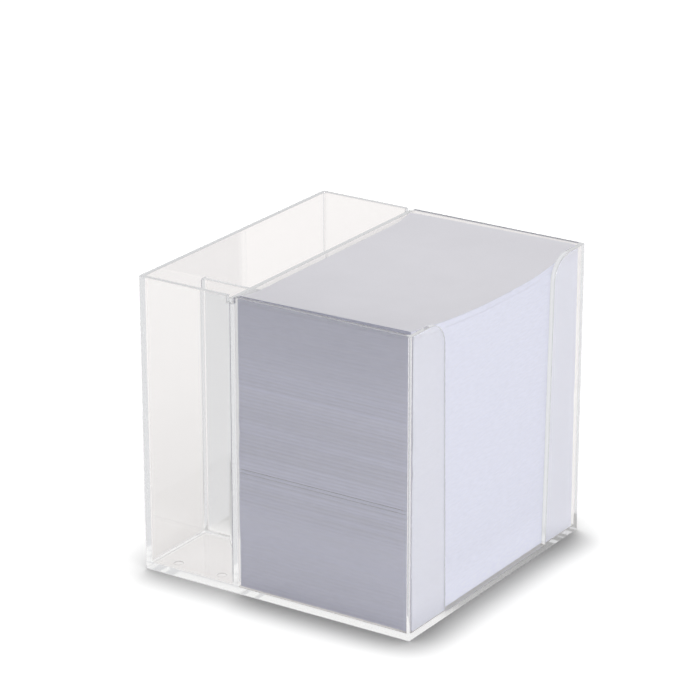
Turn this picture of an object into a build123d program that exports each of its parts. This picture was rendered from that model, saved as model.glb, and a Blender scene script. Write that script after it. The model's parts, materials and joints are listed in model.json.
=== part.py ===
"""A clear memo box: a moulded desk box with a paper bay, a pen bay and its stack of loose slips.

Millimetres, +Z up. The origin is the centre of the underside. The finger slot faces -Y and the pen
bay lies at the rear, +Y.
"""

import math
import os

from build123d import *

# Outside of the box, measured at its rim
box_width = 99.0
box_depth = 96.0
box_height = 95.0

# The upright faces lean in towards the foot, so that the box leaves its mould
draft_angle = 0.12

# Walls and edges of the moulding
wall = 1.5
floor = 2.0
outer_corner_radius = 0.5
pen_corner_radius = 1.0
paper_corner_radius = 0.3
pen_floor_radius = 0.8
rim_radius = 0.2
foot_chamfer = 0.25

# Pen bay behind the partition, with a low divider between a small and a large compartment
pen_bay_depth = 31.0
partition_thickness = 1.5
partition_drop = 0.7
divider_thickness = 1.4
divider_drop = 9.5
small_compartment_width = 28.8

# Notch in the rim of each side wall, where the end of the partition stands as a small tab
notch_width = 2.6
notch_depth = 2.2
tab_thickness = 1.1
tab_setback = 0.3
notch_reach = 0.8

# Finger slot in the front wall: it widens towards the rim and ends there in round shoulders
slot_floor_width = 58.6
slot_rim_width = 62.6
shoulder_radius = 8.0

# Round marks that the ejector pins of the mould left in the floor of the pen bay
pin_mark_diameter = 3.0
pin_mark_depth = 0.2
pin_mark_side_margin = 4.6
pin_mark_rear_margin = 7.4

# Loose slips: how much room the paper bay leaves them at the floor
slip_side_clearance = 1.0
slip_front_clearance = 0.35
slip_thickness = 0.12

# Two packs of slips. The upper one fills what is left below the dished top.
lower_pack_height = 38.2

# Each pack comes in bundles that lie a little out of line with one another, from the bottom up:
# share of the height of the pack, sideways offset in steps, turn in degrees
bundle_step = 0.05
lower_pack = [
    (0.42, 0, 0.04),
    (0.39, -4, -0.03),
    (0.06, 2, 0.05),
    (0.10, -2, 0.00),
    (0.03, 3, -0.05),
]
upper_pack = [
    (0.114, -5, 0.04),
    (0.062, 0, -0.03),
    (0.062, 4, 0.06),
    (0.083, -1, -0.04),
    (0.207, 3, 0.03),
    (0.472, 1, -0.03),
]

# Dished top: its slips curl up towards both side walls, and sag more in front than at the rear.
# For either edge: lowest place across the stack, depth there, rise of the left and right end
dish_front_low_x = 12.0
dish_front_drop = 5.8
dish_front_rises = (4.15, 3.8)
dish_rear_low_x = 5.0
dish_rear_drop = 3.9
dish_rear_rises = (1.5, 1.4)
dish_gap = 0.05
top_bundle_thickness = 1.8
top_bundle_shift = 0.1
top_bundle_turn = 0.04
top_slip_shift = 0.0
top_slip_turn = -0.03

# Places that follow from the sizes above
inner_x = box_width / 2 - wall
inner_y = box_depth / 2 - wall
partition_rear_y = inner_y - pen_bay_depth
partition_front_y = partition_rear_y - partition_thickness
partition_y = (partition_rear_y + partition_front_y) / 2
partition_top = box_height - partition_drop
divider_left_x = -inner_x + small_compartment_width
divider_right_x = divider_left_x + divider_thickness
divider_top = box_height - divider_drop


def lean_at(height):
    """How far an upright face stands in at a height, from where it would be at the rim."""
    return (box_height - height) * math.tan(math.radians(draft_angle))


def drafted_block(x_low, x_high, y_low, y_high, foot, top, front_radius, rear_radius):
    """A block between two heights, from its rectangle at the rim, drafted and with round corners."""
    with BuildPart() as block:
        with BuildSketch(Plane(((x_low + x_high) / 2, (y_low + y_high) / 2, foot))):
            Rectangle(x_high - x_low, y_high - y_low)
        extrude(amount=top - foot)
        sides = block.faces().filter_by(Axis.Z, reverse=True)
        draft(sides, neutral_plane=Plane.XY.offset(box_height), angle=-draft_angle)
        for group, radius in ((0, front_radius), (-1, rear_radius)):
            upright = block.edges().filter_by(Plane.XY, reverse=True)
            fillet(upright.group_by(Axis.Y)[group], radius)
    return block


def compartment(x_low, x_high):
    """The hollow of one pen compartment, between the floor and the top of the divider."""
    space = drafted_block(
        x_low,
        x_high,
        partition_rear_y,
        inner_y,
        floor,
        divider_top,
        pen_corner_radius,
        pen_corner_radius,
    )
    with space:
        fillet(space.faces().sort_by(Axis.Z)[0].edges(), pen_floor_radius)
    return space


# The outer form of the moulding
shell = drafted_block(
    -box_width / 2,
    box_width / 2,
    -box_depth / 2,
    box_depth / 2,
    0,
    box_height,
    outer_corner_radius,
    outer_corner_radius,
)

# The hollow above the partition, across the whole box
rim_hollow = drafted_block(
    -inner_x,
    inner_x,
    -inner_y,
    inner_y,
    partition_top,
    box_height,
    paper_corner_radius,
    pen_corner_radius,
)

# The paper bay in front of the partition
paper_bay = drafted_block(
    -inner_x,
    inner_x,
    -inner_y,
    partition_front_y,
    floor,
    partition_top,
    paper_corner_radius,
    paper_corner_radius,
)

# The pen bay behind it, down to the top of the divider
pen_bay = drafted_block(
    -inner_x,
    inner_x,
    partition_rear_y,
    inner_y,
    divider_top,
    partition_top,
    pen_corner_radius,
    pen_corner_radius,
)
small_compartment = compartment(-inner_x, divider_left_x)
large_compartment = compartment(divider_right_x, inner_x)

with BuildPart() as memo_box:
    add(shell.part)
    chamfer(memo_box.faces().sort_by(Axis.Z)[0].edges(), foot_chamfer)
    for hollow in (rim_hollow, paper_bay, pen_bay, small_compartment, large_compartment):
        add(hollow.part, mode=Mode.SUBTRACT)

    # Finger slot, cut through the front wall down to the floor of the paper bay
    with BuildSketch(Plane.XZ.offset(inner_y - wall)):
        with BuildLine():
            Polyline(
                (-slot_floor_width / 2, floor),
                (slot_floor_width / 2, floor),
                (slot_rim_width / 2, box_height),
                (-slot_rim_width / 2, box_height),
                close=True,
            )
        make_face()
    extrude(amount=3 * wall, mode=Mode.SUBTRACT)
    rim_edges = memo_box.faces().filter_by(Axis.Z).sort_by(Axis.Z)[-1].edges()
    fillet(rim_edges.filter_by(Axis.Y).group_by(SortBy.LENGTH)[0], shoulder_radius)

    # Rounded edges along the tops of the walls, the partition and the divider
    for height in (box_height, partition_top, divider_top):
        upward = memo_box.faces().filter_by(Axis.Z)
        tops = upward.filter_by(lambda face: math.isclose(face.center().Z, height))
        fillet(tops.edges(), rim_radius)

    # Notch in the rim of each side wall, with the end of the partition left in it as a tab
    for side in (-1, 1):
        notch_middle = side * (inner_x + (wall - notch_reach) / 2)
        notch_length = wall + notch_reach
        with BuildSketch(Plane((notch_middle, partition_y, box_height - notch_depth))):
            Rectangle(notch_length, notch_width)
            with Locations((-side * tab_setback, 0)):
                Rectangle(notch_length, tab_thickness, mode=Mode.SUBTRACT)
        extrude(amount=notch_depth, mode=Mode.SUBTRACT)
        with BuildSketch(Plane((notch_middle, partition_y, partition_top))):
            Rectangle(notch_length, notch_width)
        extrude(amount=partition_drop, mode=Mode.SUBTRACT)

    # Ejector marks in the corners of the pen bay
    with BuildSketch(Plane((0, (partition_rear_y + inner_y) / 2, floor))):
        with GridLocations(
            2 * (inner_x - pin_mark_side_margin), pen_bay_depth - 2 * pin_mark_rear_margin, 2, 2
        ):
            Circle(pin_mark_diameter / 2)
    extrude(amount=-pin_mark_depth, mode=Mode.SUBTRACT)

memo_box.part.label = "memo_box"


# Loose slips, sized to the paper bay where it is narrowest, at the floor
slip_width = 2 * (inner_x - lean_at(floor) - slip_side_clearance)
slip_depth = inner_y + partition_front_y - 2 * (lean_at(floor) + slip_front_clearance)
stack_y = (partition_front_y - inner_y) / 2


def flat_bundle(label, foot, thickness, shift, turn):
    """A flat bundle of slips that stands on a height, shifted sideways and turned a little."""
    with BuildPart() as bundle:
        with BuildSketch(Plane((shift, stack_y, foot))):
            Rectangle(slip_width, slip_depth, rotation=turn)
        extrude(amount=thickness)
    bundle.part.label = label
    return bundle.part


def flat_pack(name, bundles, foot, height):
    """The flat bundles of a pack of this height, piled up from its foot."""
    pieces = []
    for number, (share, steps, turn) in enumerate(bundles, start=1):
        thickness = share * height
        pieces.append(flat_bundle(f"{name}_{number}", foot, thickness, steps * bundle_step, turn))
        foot += thickness
    return pieces


def level_line(height):
    """Draws a line straight across the stack, seen from the front, and returns its two ends."""
    left_end = (-slip_width / 2, height)
    right_end = (slip_width / 2, height)
    Line(left_end, right_end)
    return left_end, right_end


def dish_line(low_point, rises):
    """Draws the edge of a dished slip from its lowest point, and returns its two ends."""
    height = low_point[1]
    left_end = (-slip_width / 2, height + rises[0])
    right_end = (slip_width / 2, height + rises[1])
    TangentArc(low_point, left_end, tangent=(-1, 0))
    TangentArc(low_point, right_end, tangent=(1, 0))
    return left_end, right_end


def across_stack(shift, turn, to_front):
    """An upright plane across the stack, this far in front of its middle."""
    toward_right = Vector(1, 0, 0).rotate(Axis.Z, turn)
    toward_front = Vector(0, -1, 0).rotate(Axis.Z, turn)
    middle = Vector(shift, stack_y, 0)
    return Plane(middle + toward_front * to_front, x_dir=toward_right, z_dir=toward_front)


def dished_bundle(label, foot, thickness, shift, turn, level_foot=None):
    """Slips with a dished top: foot above the dish and thickness, or down to a level foot."""
    edges = (
        (slip_depth / 2, dish_front_low_x, dish_front_drop, dish_front_rises),
        (-slip_depth / 2, dish_rear_low_x, dish_rear_drop, dish_rear_rises),
    )
    with BuildPart() as bundle:
        for to_front, low_x, drop, rises in edges:
            height = box_height - drop + foot
            with BuildSketch(across_stack(shift, turn, to_front)):
                with BuildLine():
                    upper_ends = dish_line((low_x, height + thickness), rises)
                    if level_foot is None:
                        lower_ends = dish_line((low_x, height), rises)
                    else:
                        lower_ends = level_line(level_foot)
                    for lower_end, upper_end in zip(lower_ends, upper_ends):
                        Line(lower_end, upper_end)
                make_face()
        loft(ruled=True)
    bundle.part.label = label
    return bundle.part


seam = floor + lower_pack_height
upper_pack_height = box_height - dish_front_drop - seam
lower_slips = flat_pack("lower_slips", lower_pack, floor, lower_pack_height)
upper_slips = flat_pack("upper_slips", upper_pack[:-1], seam, upper_pack_height)

# The last bundle of the upper pack takes up the curl of the dish
share, steps, turn = upper_pack[-1]
curled_slips = dished_bundle(
    f"upper_slips_{len(upper_pack)}",
    0,
    0,
    steps * bundle_step,
    turn,
    level_foot=seam + (1 - share) * upper_pack_height,
)

# The bundle that lies in the dish, and the one slip on top of it
top_bundle = dished_bundle(
    "top_bundle", dish_gap, top_bundle_thickness, top_bundle_shift, top_bundle_turn
)
top_slip = dished_bundle(
    "top_slip",
    dish_gap + top_bundle_thickness + dish_gap,
    slip_thickness,
    top_slip_shift,
    top_slip_turn,
)

os.makedirs("parts", exist_ok=True)
for piece in (memo_box.part, *lower_slips, *upper_slips, curled_slips, top_bundle, top_slip):
    export_step(piece, f"parts/{piece.label}.step")
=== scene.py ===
"""A clear memo box with its stack of loose slips, dressed for a studio picture.

Metres, +Z up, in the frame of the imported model: the finger slot faces -Y, the pen bay lies at +Y.
"""

import json
import math
import random

import bmesh
import bpy
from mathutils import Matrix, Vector


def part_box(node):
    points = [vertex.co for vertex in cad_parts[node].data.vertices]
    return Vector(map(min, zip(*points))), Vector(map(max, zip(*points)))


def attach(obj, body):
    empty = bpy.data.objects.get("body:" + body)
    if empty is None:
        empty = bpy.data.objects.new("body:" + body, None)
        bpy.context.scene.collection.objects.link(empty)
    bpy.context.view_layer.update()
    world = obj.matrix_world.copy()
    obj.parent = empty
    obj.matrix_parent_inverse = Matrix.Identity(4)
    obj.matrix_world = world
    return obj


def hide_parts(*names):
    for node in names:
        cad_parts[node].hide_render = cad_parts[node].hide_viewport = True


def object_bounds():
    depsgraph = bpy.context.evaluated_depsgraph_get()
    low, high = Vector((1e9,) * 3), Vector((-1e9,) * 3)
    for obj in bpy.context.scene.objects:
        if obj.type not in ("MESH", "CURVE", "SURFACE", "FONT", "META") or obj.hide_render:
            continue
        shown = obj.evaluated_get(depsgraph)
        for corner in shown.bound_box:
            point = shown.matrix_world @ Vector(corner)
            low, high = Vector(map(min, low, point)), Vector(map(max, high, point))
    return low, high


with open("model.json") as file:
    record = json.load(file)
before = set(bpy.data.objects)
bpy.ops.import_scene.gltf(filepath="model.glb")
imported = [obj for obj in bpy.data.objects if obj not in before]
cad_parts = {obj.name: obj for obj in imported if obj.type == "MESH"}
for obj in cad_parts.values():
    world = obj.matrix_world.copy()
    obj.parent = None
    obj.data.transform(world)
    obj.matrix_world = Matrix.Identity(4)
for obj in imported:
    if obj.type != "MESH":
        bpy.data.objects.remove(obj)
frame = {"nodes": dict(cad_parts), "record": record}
cad_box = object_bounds()
scene = bpy.context.scene

MM = 0.001

# The photograph's camera
camera_azimuth = -56.70
camera_elevation = 20.51
camera_place = (-0.8159, -0.5306, 0.4299)
camera_lens = 175.9

# Sheets of paper
sheet_thickness = 0.12 * MM
groove_share = 0.15  # of a sheet's thickness
groove_depth = 0.01 * MM
sheet_scatter = 0.004 * MM
sheet_crease = 20  # degrees, above which the shading breaks
scatter_seed = 7
paper_lift = 0.03 * MM  # the film of air between the lowest sheet and the floor of the box

# Where bundles of sheets meet: how many sheets one takes to go over into the next, and which thin
# bundles lie flush with another
easing_sheets = 40
flush_with = {"lower_slips_3": "lower_slips_4", "lower_slips_5": "lower_slips_4"}

# The two seams that show on the ends of the sheets: the lowest sheet of these bundles lies back
seam_bundles = ("lower_slips_5", "upper_slips_1")
seam_depth = 0.3 * MM

# Dished top: along the front and the rear edge, how far the level part lies above the lowest
# place, where it starts and ends, and how far the left and right end rise from it
dish_front = (0 * MM, (8 * MM, 16 * MM), (4.15 * MM, 3.8 * MM))
dish_rear = (1.9 * MM, (-34 * MM, 36 * MM), (1.5 * MM, 1.4 * MM))
dish_columns = 40
dished_on_top = ("upper_slips_6", "top_bundle", "top_slip")
dished_at_foot = ("top_bundle", "top_slip")

# Noise in the materials: features to a metre along X, Y and Z, and levels of finer detail
fibre_grain = ((2500, 2500, 2500), 4)
mottle_grain = ((60, 60, 60), 2)
cutter_grain = ((9, 9, 1000), 2)
dust_grain = ((350, 350, 1600), 2)
flow_grain = ((35, 35, 20), 2)
haze_grain = ((90, 90, 60), 5)
hairline_grain = ((60, 60, 2500), 2)
noise_middle = (0.3, 0.7)  # where most of a noise's values lie

# Paper
face_colour = (0.903, 0.893, 0.944)
front_colour = (0.832, 0.847, 0.974)
# The ends are bluer and a little darker than the fronts: a painted tint of the side in shade
end_shaded_colour = (0.80, 0.812, 1.0)
fibre_shade = 0.97
dust_shade = 0.94
paper_roughness = (0.82, 0.95)
paper_gloss = 0.3
paper_relief = {"Strength": 0.25, "Distance": 0.02 * MM}
paper_bounce = 0.1  # share of its light that it throws back on the floor

# Painted shade in the fine ledges that the cutter left on the ends of the sheets, as darker lines
line_contrast = 0.16
line_pitch = 1.2 * MM
line_waviness = 6.0  # radians that noise moves them by

# By share of the stack's height: how strongly those lines show, and painted light and shade on the
# sheets' edges:
# lighter at the foot, where the floor of the box would light them, and the ends darker towards the
# top
stack_height = 95 * MM
line_strength = [
    (0, 0.4),
    (0.13, 0.4),
    (0.2, 0.1),
    (0.27, 0.15),
    (0.31, 0.8),
    (0.4, 1.0),
    (0.7, 1.0),
    (0.82, 0.35),
    (1, 0.15),
]
front_painted_foot_light = [
    (0, 1.12),
    (0.16, 1.0),
    (1, 1.0),
]
end_painted_light_and_shade = [
    (0, 1.13),
    (0.1, 1.05),
    (0.26, 1.03),
    (0.33, 1.05),
    (0.7, 1.04),
    (0.85, 0.9),
    (1, 0.845),
]

# Plastic
plastic_colour = (0.97, 0.968, 0.965)
polystyrene_ior = 1.59
haze_roughness = 0.02
scratch_noise = (0.62, 0.75)  # a hairline starts and is full at these values
scratch_roughness = 0.03
plastic_relief = {"Strength": 0.05, "Distance": 0.1 * MM}

# Its edges, which are rounded
edge_rounding = 0.2 * MM
rounding_segments = 2
rounding_angle = 50  # degrees, above which an edge is rounded

# Painted shade: darker lines along its edges, in place of the dark reflections there
edge_line_width = 0.6 * MM
painted_edge_shade = 0.6
edge_line_samples = 6
edge_line_cosines = (0.8, 0.995)  # of the angle between face and rounding: full line, and none

# Painted shadow on the flat top of the rim beside the ends of the slips
painted_rim_shadow_colour = (0.20, 0.20, 0.24)
rim_steepness = 0.97
rim_from = 94.8 * MM
rim_until = 13 * MM

# Painted highlight and shade on the sides of the finger slot: glowing bright strips between dark
# lines
slot_painted_highlight = (0.79, 0.80, 0.82)
slot_painted_shade = (0.46, 0.46, 0.52)
slot_share = 0.75
slot_reach = 39.5 * MM
slot_until = -46 * MM

# Painted glow in place of light that is caught in the plastic, after this many bounces
caught_after = 4.5
painted_edge_glow = (0.74, 0.745, 0.76)
# Painted glow at the foot, by share of the width: near white at the left, greyer to the right
painted_foot_glow = [(0, 0.93), (0.34, 0.93), (0.46, 0.56), (1, 0.4)]  # by share of the width
foot_glow_height = 2.3 * MM

# Painted highlight along the lowest edge, which glows white
foot_line_height = 0.28 * MM
foot_painted_highlight_share = 0.7

# Light that goes straight through the plastic, by how it grazes a face
light_through_plastic = [(0, 0.94), (0.6, 0.94), (0.8, 0.6), (1, 0.3)]
grazing_blend = 0.3

# Floor
floor_size = 8
floor_gap = 0.05 * MM
floor_bounce = 0.7  # of the light that falls on it, back on the box
floor_boost = 1.62  # to look white where it is fully lit
contact_width = 15 * MM
contact_samples = 16
contact_openness = 0.5  # where the contact shadow is darkest
contact_shade = 0.6

# Floor and backdrop seen through the plastic: a painted glow on the floor, and a painted shade that
# greys the backdrop
backdrop_through_plastic = 0.89
floor_painted_glow_colour = (0.94, 0.91, 0.90)
floor_painted_glow = (0.3, 0.8)  # at the finger slot, and behind it
floor_glow_from = (-46 * MM, -40 * MM)
shadow_behind = [(0, 0.8), (0.25, 0.86), (0.55, 0.94), (1, 1)]  # from the rear wall to its end
shadow_reach = 150 * MM
shadow_blur = 60 * MM  # over which it starts, beside the box

# Light. Azimuth 0 is in front of the finger slot. The power is the share of a full white.
sky_light = 0.3
sky_reflected = 0.5
lamp_target = (0, 0, 50 * MM)
front_lamp = {
    "azimuth": -16,
    "elevation": 7,
    "distance": 3,
    "width": 1.6,
    "height": 0.6,
    "share": 0.58,
}
top_lamp = {
    "azimuth": 135,
    "elevation": 84.6,
    "distance": 3,
    "width": 0.52,
    "height": 0.52,
    "share": 0.38,
}


# Nodes


def start_material(name):
    """A new material without nodes, and its node tree."""
    material = bpy.data.materials.new(name)
    material.use_nodes = True
    material.node_tree.nodes.clear()
    return material, material.node_tree


def feed(tree, socket, value):
    """Gives an input a number or colour, or links the output that feeds it."""
    if isinstance(value, bpy.types.NodeSocket):
        tree.links.new(value, socket)
    elif socket.type == "RGBA":
        socket.default_value = (*value, 1)
    else:
        socket.default_value = value


def add_node(tree, kind, inputs=None, **settings):
    """Adds a node, with its settings and with what its inputs take."""
    node = tree.nodes.new(kind)
    for name, value in settings.items():
        setattr(node, name, value)
    for name, value in (inputs or {}).items():
        feed(tree, node.inputs[name], value)
    return node


def math_node(tree, operation, first, second=0.0):
    """The output of a Math node."""
    return add_node(tree, "ShaderNodeMath", {0: first, 1: second}, operation=operation).outputs[0]


def product(tree, first, *others):
    """All values multiplied."""
    for other in others:
        first = math_node(tree, "MULTIPLY", first, other)
    return first


def map_range(tree, value, from_low, from_high, to_low, to_high):
    """Maps one range onto another."""
    inputs = {
        "Value": value,
        "From Min": from_low,
        "From Max": from_high,
        "To Min": to_low,
        "To Max": to_high,
    }
    return add_node(tree, "ShaderNodeMapRange", inputs).outputs[0]


def ramp(tree, value, stops):
    """Follows a value that runs from 0 to 1 through these stops."""
    node = add_node(tree, "ShaderNodeValToRGB", {"Fac": value})
    points = node.color_ramp.elements
    for position, _ in stops[1:-1]:
        points.new(position)
    for point, (_, level) in zip(points, stops):
        point.color = (level, level, level, 1)
    return node.outputs[0]


def noise(tree, place, grain):
    """Noise of the given grain."""
    per_metre, detail = grain
    mapping = add_node(tree, "ShaderNodeMapping", {"Vector": place, "Scale": per_metre})
    inputs = {"Vector": mapping.outputs[0], "Scale": 1.0, "Detail": detail}
    return add_node(tree, "ShaderNodeTexNoise", inputs).outputs["Fac"]


def spread(tree, value, low, high):
    """Maps the middle of a noise onto a range."""
    return map_range(tree, value, *noise_middle, low, high)


def shaded(tree, colour, factor):
    """A colour times a factor."""
    inputs = {0: colour, "Scale": factor}
    return add_node(tree, "ShaderNodeVectorMath", inputs, operation="SCALE").outputs[0]


def mix_colours(tree, share, first, second):
    """Two colours mixed, from the first at 0 to the second at 1."""
    node = add_node(tree, "ShaderNodeMix", data_type="RGBA")
    for name, value in (("Factor", share), ("A", first), ("B", second)):
        socket = next(s for s in node.inputs if s.name == name and s.enabled)
        feed(tree, socket, value)
    return next(s for s in node.outputs if s.enabled)


def mix_shaders(tree, share, first, second):
    """Two shaders mixed, from the first at 0 to the second at 1."""
    inputs = {0: share, 1: first.outputs[0], 2: second.outputs[0]}
    return add_node(tree, "ShaderNodeMixShader", inputs)


def glow(tree, colour):
    """A surface that shines in a colour."""
    return add_node(tree, "ShaderNodeEmission", {"Color": colour})


def show(tree, shader):
    """Shows a shader on the surface."""
    add_node(tree, "ShaderNodeOutputMaterial", {"Surface": shader.outputs[0]})


def any_ray(tree, *kinds):
    """1 for the rays of the named kinds, 0 for all others."""
    ray = add_node(tree, "ShaderNodeLightPath")
    total = ray.outputs[kinds[0]]
    for kind in kinds[1:]:
        total = math_node(tree, "MAXIMUM", total, ray.outputs[kind])
    return total


def object_place(tree):
    """Place on the object, in metres."""
    return add_node(tree, "ShaderNodeTexCoord").outputs["Object"]


def part_of(tree, vector, axis):
    """One part of a vector."""
    return add_node(tree, "ShaderNodeSeparateXYZ", {"Vector": vector}).outputs[axis]


def facing(tree, axis, steepness=0.7):
    """1 where a surface looks along an axis, either way, and 0 elsewhere."""
    normal = add_node(tree, "ShaderNodeTexCoord").outputs["Normal"]
    steep = math_node(tree, "ABSOLUTE", part_of(tree, normal, axis))
    return math_node(tree, "GREATER_THAN", steep, steepness)


def painted_edge_mask(tree):
    """Mask of the painted edge shade: 1 along the edges of a form and 0 on its faces."""
    inputs = {"Radius": edge_line_width}
    rounded = add_node(tree, "ShaderNodeBevel", inputs, samples=edge_line_samples).outputs[0]
    normal = add_node(tree, "ShaderNodeNewGeometry").outputs["Normal"]
    inputs = {0: rounded, 1: normal}
    cosine = add_node(tree, "ShaderNodeVectorMath", inputs, operation="DOT_PRODUCT").outputs["Value"]
    return map_range(tree, math_node(tree, "ABSOLUTE", cosine), *edge_line_cosines, 1, 0)


# Material of the paper


def face_of_sheets(tree, place, fibres):
    """Colour of the faces of the sheets, with fibres and mottle."""
    mottle = noise(tree, place, mottle_grain)
    shade = product(
        tree, spread(tree, mottle, fibre_shade, 1), spread(tree, fibres, fibre_shade, 1)
    )
    return shaded(tree, face_colour, shade)


def front_of_sheets(tree, share, speckle):
    """Colour of the front and rear edges of the sheets, which are trimmed clean, with painted light
    at the foot.
    """
    return shaded(tree, front_colour, product(tree, speckle, ramp(tree, share, front_painted_foot_light)))


def end_of_sheets(tree, place, share, speckle):
    """Colour of the ends of the sheets, with painted shade along the lines of the cutter and painted
    light and shade by height.
    """
    cuts = noise(tree, place, cutter_grain)
    waves = product(tree, part_of(tree, place, "Z"), 2 * math.pi / line_pitch)
    waves = math_node(tree, "ADD", waves, product(tree, cuts, line_waviness))
    waves = map_range(tree, math_node(tree, "SINE", waves), -1, 1, line_contrast / 2, 0)
    lines = math_node(tree, "ADD", waves, spread(tree, cuts, line_contrast / 2, 0))
    # Painted shade along the cutter's fine ledges, stronger at some heights
    depth = product(tree, lines, ramp(tree, share, line_strength))
    left = math_node(tree, "SUBTRACT", 1.0, depth)
    # Painted light and shade by height: lighter at the foot, darker towards the top
    return shaded(tree, end_shaded_colour, product(tree, left, speckle, ramp(tree, share, end_painted_light_and_shade)))


def make_paper():
    """Smooth uncoated paper."""
    material, tree = start_material("slip_paper")
    place = object_place(tree)
    fibres = noise(tree, place, fibre_grain)
    speckle = spread(tree, noise(tree, place, dust_grain), dust_shade, 1.0)
    share = math_node(tree, "DIVIDE", part_of(tree, place, "Z"), stack_height)
    front = front_of_sheets(tree, share, speckle)
    end = end_of_sheets(tree, place, share, speckle)
    edge = mix_colours(tree, facing(tree, "X"), front, end)
    colour = mix_colours(tree, facing(tree, "Z"), edge, face_of_sheets(tree, place, fibres))

    # Paper throws only a part of its light back on the floor, as under a softbox close by
    bounced = shaded(tree, colour, paper_bounce)
    colour = mix_colours(tree, any_ray(tree, "Is Diffuse Ray"), colour, bounced)

    relief = add_node(tree, "ShaderNodeBump", {"Height": fibres, **paper_relief})
    inputs = {
        "Base Color": colour,
        "Roughness": spread(tree, fibres, *paper_roughness),
        "Specular IOR Level": paper_gloss,
        "Normal": relief.outputs[0],
    }
    show(tree, add_node(tree, "ShaderNodeBsdfPrincipled", inputs))
    return material


# Material of the box


def painted_rim_shadow(tree, place):
    """Mask of the painted shadow: 1 on the flat top of the rim beside the ends of the slips."""
    along = part_of(tree, place, "Y")
    return product(
        tree,
        math_node(tree, "GREATER_THAN", part_of(tree, place, "Z"), rim_from),
        math_node(tree, "GREATER_THAN", along, slot_until),
        math_node(tree, "LESS_THAN", along, rim_until),
        facing(tree, "Z", rim_steepness),
    )


def sides_of_slot(tree, place):
    """1 on the sides of the finger slot."""
    sideways = math_node(tree, "ABSOLUTE", part_of(tree, place, "X"))
    return product(
        tree,
        math_node(tree, "LESS_THAN", sideways, slot_reach),
        math_node(tree, "LESS_THAN", part_of(tree, place, "Y"), slot_until),
        math_node(tree, "GREATER_THAN", part_of(tree, place, "Z"), foot_glow_height),
        math_node(tree, "SUBTRACT", 1.0, facing(tree, "Y")),
    )


def clear_body(tree, place, colour):
    """Polished polystyrene with flow marks, haze and hairlines."""
    haze = spread(tree, noise(tree, place, haze_grain), 0, haze_roughness)
    hairlines = noise(tree, place, hairline_grain)
    scratches = map_range(tree, hairlines, *scratch_noise, 0, scratch_roughness)
    flow = noise(tree, place, flow_grain)
    relief = add_node(tree, "ShaderNodeBump", {"Height": flow, **plastic_relief})
    inputs = {
        "Base Color": colour,
        "Roughness": math_node(tree, "ADD", haze, scratches),
        "IOR": polystyrene_ior,
        "Transmission Weight": 1.0,
        "Normal": relief.outputs[0],
    }
    return add_node(tree, "ShaderNodeBsdfPrincipled", inputs)


def painted_caught_glow(tree, place):
    """Painted glow in place of the light that is caught between the faces, near white at the foot on
    the left.
    """
    low, high = cad_box
    across = map_range(tree, part_of(tree, place, "X"), low[0], high[0], 0, 1)
    at_foot = math_node(tree, "LESS_THAN", part_of(tree, place, "Z"), foot_glow_height)
    return glow(tree, mix_colours(tree, at_foot, painted_edge_glow, ramp(tree, across, painted_foot_glow)))


def straight_through(tree):
    """Lets the light of the lamps and of the sky through, less where it grazes a face."""
    grazing = add_node(tree, "ShaderNodeLayerWeight", {"Blend": grazing_blend}).outputs["Facing"]
    colour = ramp(tree, grazing, light_through_plastic)
    return add_node(tree, "ShaderNodeBsdfTransparent", {"Color": colour})


def make_clear_plastic():
    """Clear plastic that the lamps shine through, so that they reach the paper inside."""
    material, tree = start_material("clear_polystyrene")
    place = object_place(tree)
    edge_shade_mask = painted_edge_mask(tree)
    inside = add_node(tree, "ShaderNodeNewGeometry").outputs["Backfacing"]

    # Painted shade along its edges, and a painted shadow on the rim beside the slips
    colour = shaded(tree, plastic_colour, map_range(tree, edge_shade_mask, 0, 1, 1, 1 - painted_edge_shade))
    colour = mix_colours(tree, painted_rim_shadow(tree, place), colour, painted_rim_shadow_colour)
    seen = clear_body(tree, place, colour)

    # Painted glow: rays that are caught in it end in a glow
    bounces = add_node(tree, "ShaderNodeLightPath").outputs["Ray Depth"]
    caught = math_node(tree, "GREATER_THAN", bounces, caught_after)
    seen = mix_shaders(tree, caught, seen, painted_caught_glow(tree, place))

    # Painted highlight and shade: the sides of the finger slot glow as bright strips between dark
    # lines, and dark from within
    dark = math_node(tree, "MAXIMUM", edge_shade_mask, inside)
    side = glow(tree, mix_colours(tree, dark, slot_painted_highlight, slot_painted_shade))
    at_slot = product(tree, sides_of_slot(tree, place), slot_share)
    seen = mix_shaders(tree, at_slot, seen, side)

    # Painted highlight: the lowest edge glows white, seen from outside
    lowest = math_node(tree, "LESS_THAN", part_of(tree, place, "Z"), foot_line_height)
    painted_highlight = map_range(tree, math_node(tree, "SUBTRACT", lowest, inside), 0, 1, 0, foot_painted_highlight_share)
    seen = mix_shaders(tree, painted_highlight, seen, glow(tree, (1, 1, 1)))

    from_light = any_ray(tree, "Is Shadow Ray", "Is Diffuse Ray")
    show(tree, mix_shaders(tree, from_light, seen, straight_through(tree)))
    return material


# Material of the floor


def lit_floor(tree):
    """White where it is fully lit, with a contact shadow round whatever stands on it."""
    inputs = {"Distance": contact_width}
    nearness = add_node(tree, "ShaderNodeAmbientOcclusion", inputs, samples=contact_samples)
    shade = map_range(tree, nearness.outputs["AO"], contact_openness, 1, contact_shade, 1)
    white = shaded(tree, (floor_boost,) * 3, shade)
    return add_node(tree, "ShaderNodeBsdfDiffuse", {"Color": white})


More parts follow.
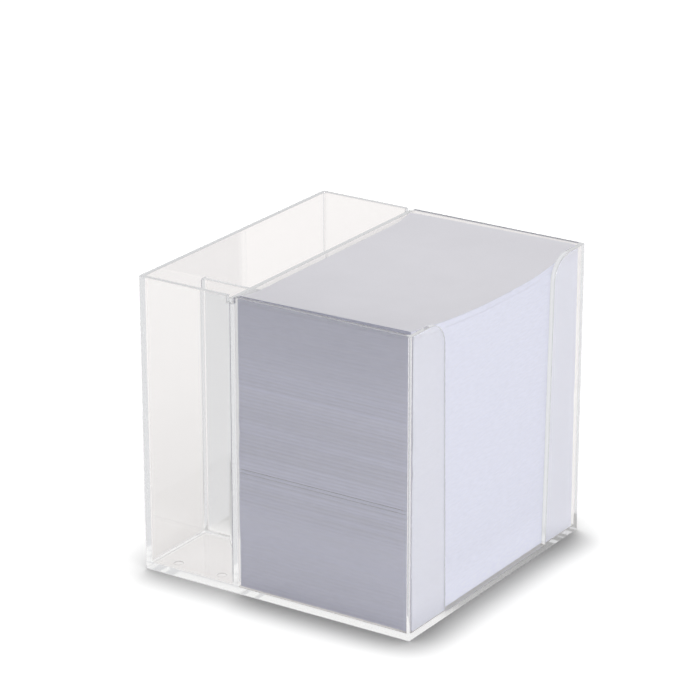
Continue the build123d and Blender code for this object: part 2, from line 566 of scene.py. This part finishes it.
def shadow_through_plastic(tree, along, sideways):
    """Shade of the floor through the plastic: a soft shadow starts at the rear wall."""
    side, rear, _ = cad_box[1]
    behind = map_range(tree, along, rear, rear + shadow_reach, 0, 1)
    started = map_range(tree, along, rear, rear + shadow_blur, 0, 1)
    behind_box = map_range(tree, sideways, side, side + shadow_blur, 1, 0)
    present = math_node(tree, "MAXIMUM", started, behind_box)
    present = product(tree, present, math_node(tree, "GREATER_THAN", along, rear))
    return map_range(tree, present, 0, 1, 1, ramp(tree, behind, shadow_behind))


def make_floor():
    """White studio floor, as the camera and the plastic see it."""
    material, tree = start_material("studio_floor")
    place = object_place(tree)
    along = part_of(tree, place, "Y")
    sideways = math_node(tree, "ABSOLUTE", part_of(tree, place, "X"))
    lit = lit_floor(tree)

    # What it throws back on the box
    bounce = add_node(tree, "ShaderNodeBsdfDiffuse", {"Color": (floor_bounce,) * 3})
    seen = mix_shaders(tree, any_ray(tree, "Is Camera Ray", "Is Glossy Ray"), bounce, lit)

    # Painted light: through the plastic, the floor mostly glows, in place of light spread from
    # within the floor of the box
    shade = shadow_through_plastic(tree, along, sideways)
    painted_floor_glow = glow(tree, shaded(tree, floor_painted_glow_colour, shade))
    front = cad_box[0][1]
    before_box = math_node(tree, "LESS_THAN", along, front)
    share = map_range(tree, along, *floor_glow_from, *floor_painted_glow)
    share = math_node(tree, "MAXIMUM", share, product(tree, before_box, floor_painted_glow[1]))
    through = mix_shaders(tree, share, lit, painted_floor_glow)
    show(tree, mix_shaders(tree, any_ray(tree, "Is Transmission Ray"), seen, through))
    return material


# Stack of paper


def corners_of(node):
    """The four corners of a bundle of slips, anticlockwise from its front left, seen from above."""
    solid = frame["nodes"][flush_with.get(node, node)]
    points = [vertex.co for vertex in solid.data.vertices]
    ways = ((-1, -1), (1, -1), (1, 1), (-1, 1))
    return [max(points, key=lambda p: p.x * x + p.y * y).xy for x, y in ways]


def dish_rise(x, half_width, edge):
    """Height above the lowest place of the dish, at a place across its front or rear edge."""
    level_height, (level_left, level_right), (left_rise, right_rise) = edge
    if x < level_left:
        run, reach, rise = level_left - x, level_left + half_width, left_rise
    elif x > level_right:
        run, reach, rise = x - level_right, half_width - level_right, right_rise
    else:
        return level_height
    radius = (reach**2 + rise**2) / (2 * rise)
    return level_height + radius - math.sqrt(radius**2 - run**2)


def outline(corners, columns):
    """Points round a sheet, anticlockwise, each with its rise in the dish."""
    front_left, front_right, rear_right, rear_left = corners
    width = (front_right - front_left).length
    front = []
    rear = []
    for column in range(columns + 1):
        share = column / columns
        x = (share - 0.5) * width
        front.append((front_left.lerp(front_right, share), dish_rise(x, width / 2, dish_front)))
        rear.append((rear_left.lerp(rear_right, share), dish_rise(x, width / 2, dish_rear)))
    return front + rear[::-1]


def add_ring(form, round_points, foot, curl, shift, inset):
    """Adds one ring of points round a sheet, drawn in by an inset on each axis."""
    middle = sum((point for point, _ in round_points), Vector((0, 0))) / len(round_points)
    ring = []
    for point, rise in round_points:
        away = point - middle
        x = point.x + shift.x - math.copysign(inset[0], away.x)
        y = point.y + shift.y - math.copysign(inset[1], away.y)
        ring.append(form.verts.new((x, y, foot + curl * rise)))
    return ring


def join_rings(form, lower, upper):
    """Closes the band between two rings."""
    for i in range(len(lower)):
        j = (i + 1) % len(lower)
        form.faces.new((lower[i], lower[j], upper[j], upper[i]))


def close_ring(form, ring, downward):
    """Closes a ring with a strip of faces that runs across the sheet."""
    for i in range(len(ring) // 2 - 1):
        corners = (ring[i], ring[i + 1], ring[-i - 2], ring[-i - 1])
        form.faces.new(reversed(corners) if downward else corners)


def smooth_mesh(form, name):
    """Turns a form into a mesh that looks smooth, except at its creases."""
    mesh = bpy.data.meshes.new(name)
    form.to_mesh(mesh)
    form.free()
    mesh.shade_smooth()
    mesh.set_sharp_from_angle(angle=math.radians(sheet_crease))
    return mesh


def make_sheets(node, below, chance):
    """A bundle with the edge of each sheet, as one closed form, eased into the bundle below."""
    low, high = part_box(node)
    foot_curl = float(node in dished_at_foot)
    top_curl = float(node in dished_on_top)
    foot = low[2] + (0 if below else paper_lift)
    thickness = high[2] - foot - top_curl * dish_front[2][0]
    count = max(1, round(thickness / sheet_thickness))
    columns = dish_columns if top_curl else 1
    easing = min(easing_sheets, count)
    own = corners_of(node)
    before = corners_of(below) if below else own
    form = bmesh.new()

    def ring_at(share, points, shift, inset):
        curl = foot_curl + (top_curl - foot_curl) * share
        return add_ring(form, points, foot + share * thickness, curl, shift, inset)

    top = None
    for sheet in range(count):
        eased = min(1, (sheet + 1) / easing)
        corners = [a.lerp(b, eased) for a, b in zip(before, own)]
        points = outline(corners, columns)
        shift = Vector((chance.gauss(0, 1), chance.gauss(0, 1))) * sheet_scatter
        recess = seam_depth if sheet == 0 and node in seam_bundles else 0
        if top is None:
            foot_edge = ring_at(0, points, shift, (recess, 0))
            close_ring(form, foot_edge, downward=True)
        else:
            inset = (recess + groove_depth, groove_depth)
            groove = ring_at((sheet + groove_share / 2) / count, points, shift, inset)
            join_rings(form, top, groove)
            foot_edge = ring_at((sheet + groove_share) / count, points, shift, (recess, 0))
            join_rings(form, groove, foot_edge)
        top = ring_at((sheet + 1) / count, points, shift, (recess, 0))
        join_rings(form, foot_edge, top)
    close_ring(form, top, downward=False)
    return smooth_mesh(form, f"{node}_sheets")


def put_in_place(mesh, node, body, material):
    """Shows a mesh in place of the CAD node of slips that it stands for."""
    mesh.materials.append(material)
    piece = bpy.data.objects.new(mesh.name, mesh)
    scene.collection.objects.link(piece)
    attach(piece, body)
    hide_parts(node)


def stack_slips():
    """The whole stack, bundle by bundle from the bottom up."""
    paper = make_paper()
    chance = random.Random(scatter_seed)
    below = None
    for body in ("lower_pack", "upper_pack", "dished_bundle", "single_slip"):
        for node in frame["record"]["behaviour"]["bodies"][body]:
            put_in_place(make_sheets(node, below, chance), node, body, paper)
            below = node


# Box


def dress_box():
    """The moulding in clear plastic, with its sharp edges rounded."""
    box = frame["nodes"]["memo_box"]
    box.data.materials.clear()
    box.data.materials.append(make_clear_plastic())
    rounding = box.modifiers.new("rounded_edges", "BEVEL")
    rounding.width = edge_rounding
    rounding.segments = rounding_segments
    rounding.limit_method = "ANGLE"
    rounding.angle_limit = math.radians(rounding_angle)


# Studio


def lay_floor():
    """A floor just below the box."""
    bpy.ops.mesh.primitive_plane_add(size=floor_size, location=(0, 0, -floor_gap))
    floor = bpy.context.object
    floor.name = "studio_floor"
    floor.data.materials.append(make_floor())


def make_sky():
    """White to the eye, and a soft light from all sides."""
    sky = bpy.data.worlds.new("studio_sky")
    sky.use_nodes = True
    tree = sky.node_tree
    tree.nodes.clear()
    strength = sky_light
    for kind, level in (
        ("Is Glossy Ray", sky_reflected),
        # Painted shade: the backdrop is greyer seen through the plastic
        ("Is Transmission Ray", backdrop_through_plastic),
        ("Is Camera Ray", 1.0),
    ):
        strength = math_node(tree, "MAXIMUM", product(tree, any_ray(tree, kind), level), strength)
    inputs = {"Color": (1, 1, 1), "Strength": strength}
    light = add_node(tree, "ShaderNodeBackground", inputs)
    add_node(tree, "ShaderNodeOutputWorld", {"Surface": light.outputs[0]})
    return sky


def direction(azimuth, elevation):
    """Unit vector from the object towards a place seen at these angles, 0 being the front, -Y."""
    turn = math.radians(azimuth)
    rise = math.radians(elevation)
    level = math.cos(rise)
    return Vector((math.sin(turn) * level, -math.cos(turn) * level, math.sin(rise)))


def add_softbox(name, azimuth, elevation, distance, width, height, share):
    """A lamp that faces the object and lights a facing white surface to a share of full white."""
    lamp = bpy.data.lights.new(name, "AREA")
    lamp.shape = "RECTANGLE"
    lamp.size = width
    lamp.size_y = height
    lamp.energy = share * (math.pi * distance) ** 2
    holder = bpy.data.objects.new(name, lamp)
    away = direction(azimuth, elevation)
    holder.location = Vector(lamp_target) + away * distance
    holder.rotation_euler = away.to_track_quat("Z", "Y").to_euler()
    scene.collection.objects.link(holder)


def add_camera():
    """The photograph's camera."""
    camera = bpy.data.objects.new("camera", bpy.data.cameras.new("camera"))
    camera.data.lens = camera_lens
    camera.location = camera_place
    camera.rotation_euler = (math.radians(90 - camera_elevation), 0, math.radians(camera_azimuth))
    scene.collection.objects.link(camera)
    return camera


stack_slips()
dress_box()
lay_floor()
scene.world = make_sky()
add_softbox("front_lamp", **front_lamp)
add_softbox("top_lamp", **top_lamp)
scene.camera = add_camera()
scene.view_settings.view_transform = "Standard"
